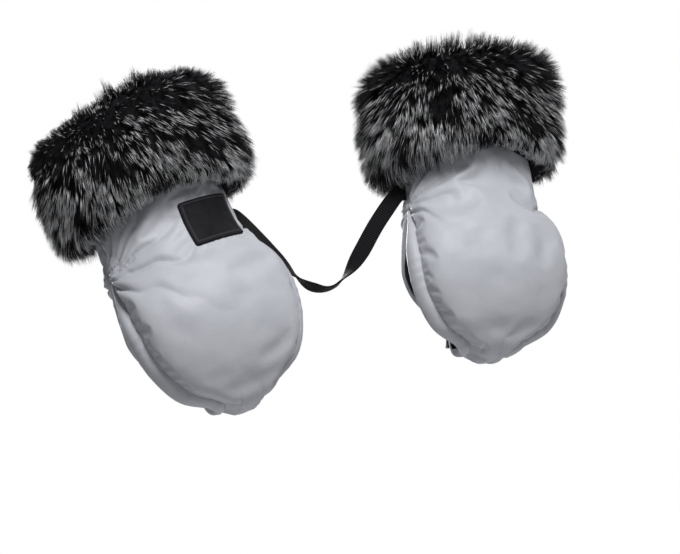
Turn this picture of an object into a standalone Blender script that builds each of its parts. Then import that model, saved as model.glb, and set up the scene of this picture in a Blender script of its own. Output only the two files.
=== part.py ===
"""A stroller hand muff: two padded mitts that hug a pram's handlebar, joined by a strap.

Each mitt is a padded front panel that wraps under the hand, a padded back panel whose lower part
is a flap held by press studs, and a turned-back fur cuff. The bar passes through the slits at both sides.

World frame: the origin is on the handlebar's axis midway between the mitts, +X runs along the
bar, -Y faces whoever looks at the pram from the front and +Z is up. Each mitt is built in its own
frame (u along the bar, v towards the back, w up along the mitt) and then stood on the bar.
"""

import math
from collections import namedtuple

import bmesh
import bpy
from mathutils import Matrix, Vector

MM = 0.001

# The pair, and the bar that it hangs on
MITT_SPACING = 264 * MM
SPLAY = math.radians(11)
BAR_DIAMETER = 36 * MM
BAR_CLEARANCE = 1.5 * MM

# One mitt
HAND_WIDTH = 156 * MM
WRIST_WIDTH = 118 * MM
BELLY_DEPTH = 62 * MM
WRIST_DEPTH = 84 * MM
BACK_DEPTH = 37 * MM
BOTTOM_DROP = 84 * MM
SLIT_TOP = 54 * MM
SLIT_ROUNDNESS = 2
WRIST_HEIGHT = 80 * MM
TUBE_TOP = 184 * MM
PALM_ANGLES = [math.radians(angle) for angle in (69, 52, 34, 17, 0)]
PALM_ROUNDNESS_SHARES = (0, 0.45, 0.75, 0.95, 1)
PALM_FULLNESS = 0.8

# Its walls
SHEET = 0.9 * MM
PADDING = 8 * MM
HEM_PADDING = 1.2 * MM
EDGE_PADDING = 2 * MM
GAP = 0.3 * MM
SEAM_GAP = 0.7 * MM
GUSSET_WIDTH = 15 * MM
GUSSET_TIP_WIDTH = 5 * MM
FLAP_STRIP_WIDTH = 10 * MM

# The hem behind the fingertips, and the flap that snaps on it
HEM_WIDTH = 54 * MM
HEM_TOP = 46 * MM
HEM_CROWN = 3 * MM
HEM_BEND = math.radians(45)
FLAP_WIDTH = 126 * MM
FLAP_TIP = 66 * MM
FLAP_HEM_TOP = 50 * MM
FLAP_HEIGHT_SHARES = (2 / 3, 1 / 3, 0)
FLAP_ROUNDNESS_SHARES = (0.7, 0.3, 0)
FLAP_TAIL_SHARES = (0.4, 0.75)

# The fur cuff
CUFF_LENGTH = 88 * MM
CUFF_CROWN = 17 * MM
CUFF_SIDE_DROP = 11 * MM
CUFF_PILE_SIDE = 37 * MM
CUFF_PILE_FRONT = 33 * MM
CUFF_PROFILE_SHARES = (
    (0.42, 0.0),
    (0.80, 0.06),
    (0.98, 0.22),
    (1.0, 0.5),
    (0.97, 0.75),
    (0.80, 0.92),
    (0.46, 0.99),
    (0.12, 1.0),
)
CUFF_HEM_SHARE = 0.06
CUFF_LIP_SHARE = 0.03
BACKING = 1.2 * MM
BACKING_TUCK = 10 * MM

# The snaps
SNAP_DIAMETER = 12 * MM
SNAP_SPACING = 26 * MM
SNAP_HEIGHT = 57 * MM
SNAP_SEAT_SHARE = 0.95
CAP_HEIGHT = 2 * MM
CAP_SHARES = ((0, 1), (0.6, 0.85), (1, 0.3), (1, 0), (0, 0))
SOCKET_HEIGHT = 2.6 * MM
SOCKET_RIM_SHARE = 0.85
STUD_FLANGE = 0.9 * MM
STUD_FLANGE_SHARE = 0.9
STUD_BULB_DIAMETER = 4 * MM
STUD_BULB_HEIGHT = 1.8 * MM
STUD_BULB_SHARES = ((0, 1), (0.7, 1), (1, 0.65), (0.8, 0))
STUD_CLEARANCE = 0.6 * MM
POST_HEIGHT = 1.2 * MM
POST_SHARES = ((0, 1), (0.75, 1), (0.85, 0), (0, 0))

# The patch
PATCH_WIDTH = 50 * MM
PATCH_HEIGHT = 43 * MM
PATCH_THICKNESS = 1.6 * MM
PATCH_RIM = 0.9 * MM
PATCH_RIM_WIDTH = 2.4 * MM
PATCH_U = 25 * MM
PATCH_W = 69 * MM

# The strap, whose route runs from a seam (x, z = 1) to the low point behind the bar (y = 1). Its ease
# is how far along the route its run is averaged, and by its seam share it hangs square to that run
STRAP_WIDTH = 15 * MM
STRAP_THICKNESS = 1.4 * MM
STRAP_HEIGHT = 71 * MM
STRAP_STANDOFF = 2.6 * MM
STRAP_LOW_Z = 14 * MM
STRAP_BACK_Y = 33 * MM
STRAP_ROUTE_SHARES = (
    (1.0, 0.0, 1.0),
    (0.90, 0.08, 0.985),
    (0.66, 0.42, 0.70),
    (0.42, 0.74, 0.35),
    (0.20, 0.94, 0.09),
    (0.0, 1.0, 0.0),
)
STRAP_TWIST_START_SHARE = 0.26
STRAP_TWIST_END_SHARE = 0.44
STRAP_EASE = 0.7
STRAP_SEAM_SHARE = 0.16

# How finely the pieces are divided
COLUMNS = 10
STRIP_COLUMNS = 3
PATCH_CELLS = 6
SNAP_SIDES = 12
STRAP_STEPS = 32
BISECTIONS = 40
SURFACE_STEP = 1e-3
REACH_STEP = 1e-2
CREASE_ANGLE = math.radians(40)
WELD = 0.01 * MM

# Sizes that follow from them
BAR_RADIUS = BAR_DIAMETER / 2
HAND_HALF = HAND_WIDTH / 2
WRIST_HALF = WRIST_WIDTH / 2
WRIST_REACH = WRIST_DEPTH / 2
HEM_HALF = HEM_WIDTH / 2
FLAP_HALF = FLAP_WIDTH / 2
SNAP_RADIUS = SNAP_DIAMETER / 2
BULB_RADIUS = STUD_BULB_DIAMETER / 2
SLIT_FRONT = BAR_RADIUS + BAR_CLEARANCE
PADDED_WALL = SHEET + GAP + PADDING + GAP + SHEET
EDGE_WALL = SHEET + GAP + EDGE_PADDING + GAP + SHEET
HEM_WALL = SHEET + GAP + HEM_PADDING + GAP + SHEET
SLIT_BACK = BAR_RADIUS + BAR_CLEARANCE + EDGE_WALL
FLAP_HEM_DEPTH = SLIT_BACK + 2 * GAP
HEM_DEPTH = FLAP_HEM_DEPTH - HEM_WALL - SOCKET_HEIGHT - STUD_FLANGE - 3 * GAP
TUBE_HEIGHTS = ((SLIT_TOP + WRIST_HEIGHT) / 2, WRIST_HEIGHT, (WRIST_HEIGHT + TUBE_TOP) / 2, TUBE_TOP)
CUFF_BOTTOM = TUBE_TOP - CUFF_LENGTH
CUFF_TOP = TUBE_TOP + CUFF_CROWN
BACKING_BOTTOM = CUFF_BOTTOM + BACKING_TUCK
TURNED_IN = SHEET + 6 * GAP
HINGE = Vector((0, WRIST_REACH, SLIT_TOP))

COLOURS = {
    "shell_cloth": ((0.42, 0.44, 0.49), 0.55, 0.0),
    "wadding": ((0.80, 0.80, 0.78), 0.95, 0.0),
    "lining_cloth": ((0.045, 0.045, 0.05), 0.9, 0.0),
    "fur": ((0.03, 0.03, 0.033), 0.85, 0.0),
    "knit_backing": ((0.06, 0.06, 0.065), 0.95, 0.0),
    "snap_metal": ((0.05, 0.05, 0.055), 0.35, 0.9),
    "patch_rubber": ((0.018, 0.018, 0.02), 0.6, 0.0),
    "webbing": ((0.015, 0.015, 0.017), 0.8, 0.0),
}

# A rib spans a panel: its half width, where its edges and its middle lie, how round it is between
# them (0 for a parabola, 1 for half an ellipse), its padding, and the width of the strip at its edge
Rib = namedtuple("Rib", "half edge_v edge_w middle_v middle_w roundness pad edge_pad strip")


def clear_scene():
    for obj in list(bpy.data.objects):
        bpy.data.objects.remove(obj, do_unlink=True)


def make_material(name):
    """One plain finish: base colour, roughness and metallic value."""
    colour, roughness, metallic = COLOURS[name]
    material = bpy.data.materials.new(name)
    material.use_nodes = True
    shader = material.node_tree.nodes["Principled BSDF"]
    shader.inputs["Base Color"].default_value = (*colour, 1)
    shader.inputs["Roughness"].default_value = roughness
    shader.inputs["Metallic"].default_value = metallic
    return material


def smooth_curve(rows, t):
    """Reads the row at t, a row number or between two, from a smooth curve through all the rows."""
    last = len(rows) - 1
    i = min(max(math.floor(t), 0), last - 1)
    f = t - i
    nearby = (rows[max(i - 1, 0)], rows[i], rows[i + 1], rows[min(i + 2, last)])
    values = []
    for a, b, c, d in zip(*nearby):
        curve = 2 * b + (c - a) * f + (2 * a - 5 * b + 4 * c - d) * f**2
        curve += (3 * b - a - 3 * c + d) * f**3
        values.append(curve / 2)
    return values


def fullness(height):
    """1 at the bar's axis, falling smoothly to 0 at the wrist."""
    return (1 + math.cos(math.pi * min(height / WRIST_HEIGHT, 1))) / 2


def half_width(height):
    """Half the mitt's width at a height over the bar."""
    return WRIST_HALF + (HAND_HALF - WRIST_HALF) * fullness(height)


def slit_opening(share):
    """The slit's width as a share of what it is at the bar, at a share of the way up to its top."""
    return 1 - share**SLIT_ROUNDNESS


def front_depth(height):
    """How far the front panel's middle stands before the bar's axis."""
    return WRIST_REACH + (BELLY_DEPTH - WRIST_REACH) * fullness(height)


class Panel:
    """A padded panel whose outer face is read from a smooth curve through its ribs.

    The wall is cut level at the level rib, where the back panel and its flap meet at the fold.
    """

    def __init__(self, ribs, level=None, slit_ribs=()):
        self.ribs = ribs
        self.last = len(ribs) - 1
        self.level = level
        self.slit_ribs = slit_ribs

    def rib(self, t):
        return Rib(*smooth_curve(self.ribs, t))

    def face(self, s, t):
        """The outer face at s (-1 to 1 across) and t (rib number along)."""
        rib = self.rib(t)
        across = (1 - rib.roundness) * s + rib.roundness * math.sin(math.pi / 2 * s)
        rise = (1 - rib.roundness) * (1 - s * s) + rib.roundness * math.cos(math.pi / 2 * s)
        v = rib.edge_v + (rib.middle_v - rib.edge_v) * rise
        w = rib.edge_w + (rib.middle_w - rib.edge_w) * rise
        return Vector((rib.half * across, v, w))

    def normal(self, s, t):
        low = max(t - SURFACE_STEP, 0)
        high = min(t + SURFACE_STEP, self.last)
        along = self.face(s, high) - self.face(s, low)
        across = self.face(s + SURFACE_STEP, t) - self.face(s - SURFACE_STEP, t)
        normal = across.cross(along)
        if t == self.level:
            normal.z = 0
        return normal.normalized()

    def point(self, s, t, depth):
        return self.face(s, t) - self.normal(s, t) * depth

    def padding(self, s, t):
        rib = self.rib(t)
        return rib.edge_pad + (rib.pad - rib.edge_pad) * (1 - s**4)

    def lining_depth(self, s, t):
        return SHEET + GAP + self.padding(s, t) + GAP

    def wall(self, s, t):
        return self.lining_depth(s, t) + SHEET

    def reach(self, t, margin, depth=0):
        """The s that lies a margin inside the edge, both on the outer face and at a depth under it."""
        near = REACH_STEP
        speeds = [(self.point(1, t, d) - self.point(1 - near, t, d)).length / near for d in (0, depth)]
        return 1 - margin / min(speeds)

    def column(self, number, t, inside):
        """The s of a column. The shell stops at the edge strip; what is inside has one column more."""
        if t in self.slit_ribs:
            edge = self.reach(t, self.rib(t).strip + GAP)
            inner_edge = self.reach(t, TURNED_IN, self.wall(1, t))
        else:
            edge = self.reach(t, SHEET) if inside else 1
            inner_edge = 1
        if abs(number) > COLUMNS / 2:
            return math.copysign(inner_edge, number)
        return edge * number / (COLUMNS / 2)


def hem_rib(v, w):
    """A rib of the flat, thin hem where the flap snaps on."""
    return Rib(HEM_HALF, v, w, v, w, 0, HEM_PADDING, HEM_PADDING, GUSSET_TIP_WIDTH)


def front_panel():
    """From the hem behind the fingertips, under the hand, up the front and into the cuff."""
    arc_w = HEM_DEPTH - BOTTOM_DROP
    lift = HEM_CROWN * math.sin(HEM_BEND) / 2
    bend_v = HEM_DEPTH * math.sin(HEM_BEND)
    bend_w = arc_w - HEM_DEPTH * math.cos(HEM_BEND)
    half_strip = GUSSET_WIDTH / 2
    ribs = [
        hem_rib(HEM_DEPTH, -HEM_TOP),
        hem_rib(HEM_DEPTH, arc_w),
        Rib(HEM_HALF, bend_v - lift, bend_w + lift, bend_v, bend_w, 0, PADDING / 2, PADDING / 2, half_strip),
        Rib(HEM_HALF, 0, HEM_CROWN - BOTTOM_DROP, 0, -BOTTOM_DROP, 0, PADDING, PADDING, half_strip),
    ]
    for turn, roundness in zip(PALM_ANGLES, PALM_ROUNDNESS_SHARES):
        half = HAND_HALF * math.cos(turn) ** PALM_FULLNESS
        height = -BOTTOM_DROP * math.sin(turn)
        edge = -SLIT_FRONT * math.cos(turn)
        middle = -BELLY_DEPTH * math.cos(turn)
        ribs.append(Rib(half, edge, height, middle, height, roundness, PADDING, PADDING, GUSSET_WIDTH))
    for share in (1 / 3, 2 / 3, 1):
        height = SLIT_TOP * share
        edge = min(-SLIT_FRONT * slit_opening(share), -SEAM_GAP / 2)
        strip = GUSSET_WIDTH + (GUSSET_TIP_WIDTH - GUSSET_WIDTH) * share
        middle = -front_depth(height)
        ribs.append(Rib(half_width(height), edge, height, middle, height, 1, PADDING, PADDING, strip))
    slit_ribs = range(len(ribs))
    for height in TUBE_HEIGHTS:
        middle = -front_depth(height)
        ribs.append(Rib(half_width(height), -SEAM_GAP / 2, height, middle, height, 1, PADDING, PADDING, 0))
    return Panel(ribs, slit_ribs=slit_ribs)


def back_panel():
    """The sewn part of the back, from the cuff down to the fold that the flap hangs from."""
    ribs = []
    for height in (*reversed(TUBE_HEIGHTS), SLIT_TOP + SEAM_GAP):
        ribs.append(Rib(half_width(height), SEAM_GAP / 2, height, WRIST_REACH, height, 1, PADDING, PADDING, 0))
    return Panel(ribs, level=len(ribs) - 1)


def flap_panel():
    """The loose part of the back, from the fold down behind the bar to the snapped hem."""
    top_half = half_width(SLIT_TOP)
    edge = SEAM_GAP / 2
    ribs = [Rib(top_half, edge, SLIT_TOP, WRIST_REACH, SLIT_TOP, 1, PADDING, PADDING, GUSSET_TIP_WIDTH)]
    for share, roundness in zip(FLAP_HEIGHT_SHARES, FLAP_ROUNDNESS_SHARES):
        fall = 1 - share
        half = top_half + (FLAP_HALF - top_half) * fall
        opening = slit_opening(share)
        edge = SLIT_BACK * opening
        middle = WRIST_REACH + (BACK_DEPTH - WRIST_REACH) * fall
        height = SLIT_TOP * share
        edge_pad = PADDING + (EDGE_PADDING - PADDING) * opening
        strip = GUSSET_TIP_WIDTH + (FLAP_STRIP_WIDTH - GUSSET_TIP_WIDTH) * fall
        ribs.append(Rib(half, edge, height, middle, height, roundness, PADDING, edge_pad, strip))
    for share in FLAP_TAIL_SHARES:
        half = HEM_HALF + (FLAP_HALF - HEM_HALF) * math.cos(math.pi / 2 * share)
        middle = BACK_DEPTH + (FLAP_HEM_DEPTH - BACK_DEPTH) * share**2
        height = -FLAP_HEM_TOP * share
        pad = PADDING + (HEM_PADDING - PADDING) * share**2
        ribs.append(Rib(half, SLIT_BACK, height, middle, height, 0, pad, EDGE_PADDING, FLAP_STRIP_WIDTH))
    ribs += [hem_rib(FLAP_HEM_DEPTH, -height) for height in (FLAP_HEM_TOP, FLAP_TIP)]
    return Panel(ribs, level=0, slit_ribs=range(len(ribs)))


def mesh_from(bm, name, material):
    mesh = bpy.data.meshes.new(name)
    bm.to_mesh(mesh)
    bm.free()
    mesh.materials.append(material)
    mesh.shade_smooth()
    mesh.set_sharp_from_angle(angle=CREASE_ANGLE)
    return mesh


def unit_grid(columns, rows):
    """A flat grid whose x counts columns from the middle and whose y counts rows from the first."""
    bm = bmesh.new()
    bmesh.ops.create_grid(bm, x_segments=columns, y_segments=rows, size=1)
    for vert in bm.verts:
        vert.co.x = vert.co.x * columns / 2
        vert.co.y = (vert.co.y + 1) / 2 * rows
    return bm


def unit_slab(columns, rows):
    """The same grid with a second layer under it, at z = -1."""
    bm = unit_grid(columns, rows)
    below = bmesh.ops.extrude_face_region(bm, geom=bm.faces[:], use_keep_orig=True)["geom"]
    for item in below:
        if isinstance(item, bmesh.types.BMVert):
            item.co.z = -1
    return bm


def sheet_mesh(name, panel, inside, material):
    """An open sheet on the panel, its shell or its lining. It is thickened inwards later."""
    bm = unit_grid(COLUMNS + 2 if inside else COLUMNS, panel.last)
    for vert in bm.verts:
        t = round(vert.co.y)
        s = panel.column(round(vert.co.x), t, inside)
        vert.co = panel.point(s, t, panel.lining_depth(s, t) if inside else 0)
    return mesh_from(bm, name, material)


def wadding_mesh(name, panel, material):
    """The filling of a panel: a slab of its own thickness between the shell and the lining."""
    bm = unit_slab(COLUMNS + 2, panel.last)
    for vert in bm.verts:
        t = round(vert.co.y)
        number = round(vert.co.x)
        s = panel.column(number, t, True)
        under_strip = GAP if abs(number) > COLUMNS / 2 else 0
        depth = SHEET + GAP + (panel.padding(s, t) if vert.co.z < 0 else under_strip)
        vert.co = panel.point(s, t, depth)
    bmesh.ops.recalc_face_normals(bm, faces=bm.faces[:])
    return mesh_from(bm, name, material)


def edge_strip_mesh(name, panel, side, material):
    """The strip that faces a slit: it runs along the panel's edge and turns in over the wall."""
    bm = unit_grid(STRIP_COLUMNS, len(panel.slit_ribs) - 1)
    for vert in bm.verts:
        t = round(vert.co.y)
        outer = panel.reach(t, panel.rib(t).strip)
        rows = ((outer, 0), ((1 + outer) / 2, 0), (1, 0), (1, panel.wall(1, t)))
        s, depth = rows[round(vert.co.x + STRIP_COLUMNS / 2)]
        vert.co = panel.point(side * s, t, depth)
    if side < 0:
        bmesh.ops.reverse_faces(bm, faces=bm.faces[:])
    return mesh_from(bm, name, material)


def ring_mesh(name, profile, pile_reach, side_drop, material):
    """A ring round the wrist, spun from a profile of (offset from the mitt, height).

    The pile stands out less at the front and back than at the sides, and its hem hangs lower at
    the sides.
    """
    bm = bmesh.new()
    verts = [bm.verts.new((WRIST_HALF + offset, 0, height)) for offset, height in profile]
    edges = [bm.edges.new(pair) for pair in zip(verts, verts[1:] + verts[:1])]
    full_turn = {"cent": (0, 0, 0), "axis": (0, 0, 1), "angle": 2 * math.pi, "steps": 2 * COLUMNS}
    bmesh.ops.spin(bm, geom=verts + edges, use_merge=True, use_normal_flip=True, **full_turn)
    heights = [height for _, height in profile]
    bottom = min(heights)
    middle = (bottom + max(heights)) / 2
    for vert in bm.verts:
        turn = math.atan2(vert.co.y, vert.co.x)
        offset = math.hypot(vert.co.x, vert.co.y) - WRIST_HALF
        sideways = math.cos(turn) ** 2
        if offset > 2 * BACKING:
            offset *= pile_reach + (1 - pile_reach) * sideways
        out = Vector((math.cos(turn) / WRIST_HALF, math.sin(turn) / WRIST_REACH, 0)).normalized()
        base = Vector((WRIST_HALF * math.cos(turn), WRIST_REACH * math.sin(turn), vert.co.z))
        base.z -= side_drop * sideways * max(middle - vert.co.z, 0) / (middle - bottom)
        vert.co = base + out * offset
    bmesh.ops.recalc_face_normals(bm, faces=bm.faces[:])
    return mesh_from(bm, name, material)


def fur_mesh(material):
    """The turned-back fur: a fat roll outside the wrist that folds over the rim into the mouth."""
    inner = 2 * GAP + BACKING + GAP
    rim = TUBE_TOP + GAP
    tall = CUFF_TOP - CUFF_BOTTOM
    profile = [(inner, CUFF_BOTTOM + tall * CUFF_HEM_SHARE)]
    profile += [(CUFF_PILE_SIDE * out, CUFF_BOTTOM + tall * up) for out, up in CUFF_PROFILE_SHARES]
    profile += [
        (-PADDED_WALL / 2, CUFF_TOP - tall * CUFF_LIP_SHARE),
        (-PADDED_WALL, (CUFF_TOP + rim) / 2),
        (-PADDED_WALL, rim),
        (inner, rim),
    ]
    return ring_mesh("cuff_fur", profile, CUFF_PILE_FRONT / CUFF_PILE_SIDE, CUFF_SIDE_DROP, material)


def backing_mesh(material):
    """The knitted cloth that the pile is rooted in, between the fur and the mitt's wrist."""
    inner = 2 * GAP
    outer = inner + BACKING
    profile = [(inner, BACKING_BOTTOM), (outer, BACKING_BOTTOM), (outer, TUBE_TOP), (inner, TUBE_TOP)]
    return ring_mesh("cuff_backing", profile, 1, 0, material)


def turned_mesh(name, profile, material):
    """The outline of a turned piece as (radius, height), from its top down to its seat."""
    bm = bmesh.new()
    verts = [bm.verts.new((radius, 0, height)) for radius, height in profile]
    for pair in zip(verts, verts[1:]):
        bm.edges.new(pair)
    mesh = bpy.data.meshes.new(name)
    bm.to_mesh(mesh)
    bm.free()
    mesh.materials.append(material)
    return mesh


def snap_meshes(material):
    """The four turned pieces of a press stud, each seated on z = 0."""
    seat = SNAP_RADIUS * SNAP_SEAT_SHARE
    hole = BULB_RADIUS + STUD_CLEARANCE
    floor = SOCKET_HEIGHT - STUD_BULB_HEIGHT - STUD_CLEARANCE / 2
    bulb = [(BULB_RADIUS * out, STUD_FLANGE + STUD_BULB_HEIGHT * up) for out, up in STUD_BULB_SHARES]
    shapes = {
        "cap": [(SNAP_RADIUS * out, CAP_HEIGHT * up) for out, up in CAP_SHARES],
        "socket": [
            (0, floor),
            (hole, floor),
            (hole, SOCKET_HEIGHT),
            (SNAP_RADIUS * SOCKET_RIM_SHARE, SOCKET_HEIGHT),
            (seat, 0),
            (0, 0),
        ],
        "stud": [*bulb, (SNAP_RADIUS * STUD_FLANGE_SHARE, STUD_FLANGE), (seat, 0), (0, 0)],
        "post": [(SNAP_RADIUS * out, POST_HEIGHT * up) for out, up in POST_SHARES],
    }
    return {key: turned_mesh("snap_" + key, profile, material) for key, profile in shapes.items()}


def front_point(panel, u, w, depth):
    """The point of the front face at a given u, and w above the bar, found by halving the ribs' range."""
    low = min(range(panel.last), key=lambda t: abs(panel.ribs[t].edge_w))
    high = panel.last
    for _ in range(BISECTIONS):
        t = (low + high) / 2
        if panel.rib(t).edge_w < w:
            low = t
        else:
            high = t
    s = math.asin(u / panel.rib(t).half) / (math.pi / 2)
    return panel.point(s, t, depth)


def patch_line(number, half):
    """Where a grid line of the patch lies: the last is its edge, the one before its border's foot."""
    steps = PATCH_CELLS / 2
    if abs(number) == steps:
        return math.copysign(half, number)
    return (half - PATCH_RIM_WIDTH) * number / (steps - 1)


def patch_mesh(panel, material):
    """The sewn-on rubber patch: a plate bent to the mitt's front, with a raised border."""
    bm = unit_slab(PATCH_CELLS, PATCH_CELLS)
    steps = PATCH_CELLS / 2
    for vert in bm.verts:
        across = round(vert.co.x)
        up = round(vert.co.y - steps)
        height = 0
        if vert.co.z == 0:
            on_rim = steps in (abs(across), abs(up))
            height = PATCH_THICKNESS + (PATCH_RIM if on_rim else 0)
        u = PATCH_U + patch_line(across, PATCH_WIDTH / 2)
        w = PATCH_W + patch_line(up, PATCH_HEIGHT / 2)
        vert.co = front_point(panel, u, w, -2 * GAP - height)
    bmesh.ops.recalc_face_normals(bm, faces=bm.faces[:])
    return mesh_from(bm, "patch", material)


def mitt_matrix(side):
    """Stands a mitt on the bar: -1 is the left mitt, 1 the right. Their tops lean apart."""
    place = Matrix.Translation((side * MITT_SPACING / 2, 0, 0))
    return place @ Matrix.Rotation(side * SPLAY, 4, "Y")


def strap_mesh(material):
    """The webbing between the mitts. Sewn flat into both inner seams, it sags behind the bar."""
    seam = mitt_matrix(1) @ Vector((-half_width(STRAP_HEIGHT) - STRAP_STANDOFF, 0, STRAP_HEIGHT))
    drop = seam.z - STRAP_LOW_Z
    right = [(seam.x * x, STRAP_BACK_Y * y, STRAP_LOW_Z + drop * z) for x, y, z in STRAP_ROUTE_SHARES]
    left = [(-x, y, z) for x, y, z in reversed(right[:-1])]
    route = right + left
    last = len(route) - 1
    twist_span = STRAP_TWIST_END_SHARE - STRAP_TWIST_START_SHARE
    bm = unit_grid(1, STRAP_STEPS)
    for vert in bm.verts:
        share = vert.co.y / STRAP_STEPS
        here = Vector(smooth_curve(route, last * share))
        before = Vector(smooth_curve(route, max(last * share - STRAP_EASE, 0)))
        after = Vector(smooth_curve(route, min(last * share + STRAP_EASE, last)))
        along = (after - before).normalized()
        from_end = min(share, 1 - share)
        twist = min(max(from_end - STRAP_TWIST_START_SHARE, 0) / twist_span, 1)
        turn = math.pi / 2 * (1 - math.cos(math.pi * twist)) / 2
        lean = SPLAY * math.copysign(1, here.x)
        upright = Vector((math.sin(lean), 0, math.cos(lean)))
        leaving = min(from_end / STRAP_SEAM_SHARE, 1)
        upright = (upright - along * along.dot(upright) * leaving).normalized()
        width = upright * math.cos(turn) + along.cross(upright) * math.sin(turn)
        vert.co = here + width * vert.co.x * STRAP_WIDTH
    return mesh_from(bm, "connecting_strap", material)


def add_object(collection, name, mesh, parent=None, at=(0, 0, 0)):
    obj = bpy.data.objects.new(name, mesh)
    obj.location = at
    obj.parent = parent
    collection.objects.link(obj)
    return obj


def thicken(obj, thickness, offset):
    """Gives an open sheet its thickness: offset -1 puts it all behind the sheet, 0 half each side."""
    solidify = obj.modifiers.new("thickness", "SOLIDIFY")
    solidify.thickness = thickness
    solidify.offset = offset
    solidify.use_even_offset = True


def turn_profile(obj):
    screw = obj.modifiers.new("turned", "SCREW")
    screw.steps = SNAP_SIDES
    screw.render_steps = SNAP_SIDES
    screw.use_merge_vertices = True
    screw.merge_threshold = WELD


def add_empty(collection, name, matrix, parent=None):
    empty = bpy.data.objects.new(name, None)
    empty.matrix_local = matrix
    empty.parent = parent
    collection.objects.link(empty)
    return empty


def panel_meshes(panels, materials):
    """The cloth sheets and fillings that both mitts share, by name."""
    sheets = {}
    fillings = {}
    for part, panel in panels.items():
        sheets[part + "_shell"] = sheet_mesh(part + "_shell", panel, False, materials["shell_cloth"])
        sheets[part + "_lining"] = sheet_mesh(part + "_lining", panel, True, materials["lining_cloth"])
        fillings[part + "_padding"] = wadding_mesh(part + "_padding", panel, materials["wadding"])
    return sheets, fillings


def add_snaps(collection, hand, snaps, axis, fold):
    """Two press studs: cap and socket on the flap's hem, stud and post on the front panel's hem."""
    seats = {
        "cap": (FLAP_HEM_DEPTH + GAP, 1, fold),
        "socket": (FLAP_HEM_DEPTH - HEM_WALL - GAP, -1, fold),
        "stud": (HEM_DEPTH + GAP, 1, axis),
        "post": (HEM_DEPTH - HEM_WALL - GAP, -1, axis),
    }
    for key, (depth, facing, parent) in seats.items():
        for index, u in enumerate((-SNAP_SPACING / 2, SNAP_SPACING / 2), start=1):
            place = Vector((u, depth, -SNAP_HEIGHT))
            if parent is fold:
                place -= HINGE
            snap = add_object(collection, f"{hand}_snap_{key}_{index}", snaps[key], parent, place)
            snap.rotation_euler = (-facing * math.pi / 2, 0, 0)
            turn_profile(snap)


def build_mitt(collection, side, panels, sheets, solids, snaps, shell_cloth):
    """One mitt: everything hangs on its bar axis, and the flap on the fold at the slits' top."""
    hand = "left" if side < 0 else "right"
    axis = add_empty(collection, hand + "_bar_axis", mitt_matrix(side))
    fold = add_empty(collection, hand + "_flap_fold", Matrix.Translation(HINGE), axis)

    def hang(name, mesh):
        on_flap = name.startswith("flap")
        return add_object(collection, f"{hand}_{name}", mesh, fold if on_flap else axis, -HINGE * on_flap)

    for name, mesh in sheets.items():
        thicken(hang(name, mesh), SHEET, -1)
    for name, mesh in solids.items():
        hang(name, mesh)
    for name, panel in (("gusset", panels["front"]), ("flap_hem", panels["flap"])):
        for edge, word in ((-side, "inner"), (side, "outer")):
            strip = edge_strip_mesh(f"{name}_{word}", panel, edge, shell_cloth)
            thicken(hang(f"{name}_{word}", strip), SHEET, -1)
    add_snaps(collection, hand, snaps, axis, fold)
    return axis


def main():
    clear_scene()
    collection = bpy.data.collections.new("stroller_hand_muff")
    bpy.context.scene.collection.children.link(collection)
    materials = {name: make_material(name) for name in COLOURS}
    panels = {"front": front_panel(), "back": back_panel(), "flap": flap_panel()}
    sheets, solids = panel_meshes(panels, materials)
    solids["cuff_fur"] = fur_mesh(materials["fur"])
    solids["cuff_backing"] = backing_mesh(materials["knit_backing"])
    snaps = snap_meshes(materials["snap_metal"])
    axes = {}
    for side in (-1, 1):
        axes[side] = build_mitt(collection, side, panels, sheets, solids, snaps, materials["shell_cloth"])
    patch = patch_mesh(panels["front"], materials["patch_rubber"])
    add_object(collection, "left_patch", patch, axes[-1])
    strap = add_object(collection, "connecting_strap", strap_mesh(materials["webbing"]))
    thicken(strap, STRAP_THICKNESS, 0)


main()
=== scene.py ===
# %% [markdown]
# # A stroller hand muff
#
# Two padded mitts hug a pram's handlebar and keep the pusher's hands warm. Each has a padded front
# that wraps under the fingers, a padded back whose lower part is a flap held by press studs, a
# dark knitted lining and a turned-back cuff of long imitation fur. A webbing strap keeps the pair together.
#
# The imported model is loaded first. It carries the joints, and each piece made here rides on one of
# its bodies, but for the back panels and the strap halves, which stay where they are made. Positions
# of a mitt are worked out in the mitt's own frame, in millimetres: u runs along the bar, v towards
# the back and w up to the cuff.

# %% Load the imported model
import math

import bmesh
import bpy
import numpy as np
from mathutils import Matrix, Vector, noise


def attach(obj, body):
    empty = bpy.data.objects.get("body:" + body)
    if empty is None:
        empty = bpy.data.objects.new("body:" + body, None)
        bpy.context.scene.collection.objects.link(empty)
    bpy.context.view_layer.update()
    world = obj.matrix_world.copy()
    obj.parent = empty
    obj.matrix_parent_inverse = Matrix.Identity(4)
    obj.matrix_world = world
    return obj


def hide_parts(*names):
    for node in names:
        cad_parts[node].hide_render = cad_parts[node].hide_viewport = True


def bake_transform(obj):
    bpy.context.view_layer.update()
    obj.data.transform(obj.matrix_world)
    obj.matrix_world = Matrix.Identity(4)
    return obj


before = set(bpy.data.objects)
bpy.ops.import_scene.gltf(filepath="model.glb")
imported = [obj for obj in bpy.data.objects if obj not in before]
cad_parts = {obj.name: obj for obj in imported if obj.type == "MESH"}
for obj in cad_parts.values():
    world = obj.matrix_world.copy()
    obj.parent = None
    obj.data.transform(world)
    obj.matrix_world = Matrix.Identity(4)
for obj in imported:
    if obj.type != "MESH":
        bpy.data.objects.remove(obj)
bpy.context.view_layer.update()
MM = 0.001

# %% [markdown]
# The mitts lean apart from the bar by the same angle. One matrix a side stands a mitt on the bar,
# so that a shape worked out once serves both. The padded wrist gives way under the fur, so each cuff
# also nods a few millimetres to one side, as in the photograph.

# %% Stand a mitt on the bar
MITT_SPACING = 264
SPLAY = math.radians(11)
SIDES = {"left": -1, "right": 1}
CUFF_NODS = {"left": 6, "right": 2}
NOD_START, NOD_RISE = 40, 110


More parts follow.
